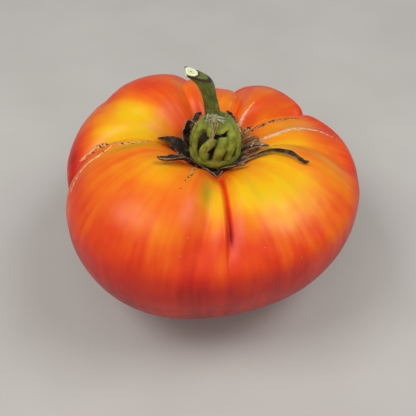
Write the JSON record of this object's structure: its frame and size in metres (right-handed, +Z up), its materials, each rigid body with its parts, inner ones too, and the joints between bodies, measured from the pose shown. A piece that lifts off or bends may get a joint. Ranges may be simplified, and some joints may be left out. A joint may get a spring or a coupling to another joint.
{
  "type": "ribbed beefsteak tomato",
  "caption": "Ripe ribbed tomato with pinched unequal shoulders, a green bent stem on a ribbed knob, and a dry curled calyx, resting on a small flat spot.",
  "frame": {"origin": "on the resting surface, under the middle of the fruit's outline seen from above", "axes": "+Z up along the stem's axis, -Y towards the side the picture shows, +X to that side's right"},
  "size_m": [0.1113, 0.1107, 0.0916],
  "materials": {
    "fruit_skin": "waxy skin with a soft gloss, red below and orange with yellow flames on the shoulders",
    "green_stem": "matt green, finely haired",
    "dry_calyx": "dry, shrivelled, nearly black with paler brown edges"
  },
  "bodies": {
    "root": {"fruit": "fruit_skin", "stem": "green_stem", "calyx": "dry_calyx"}
  },
  "joints": []
}
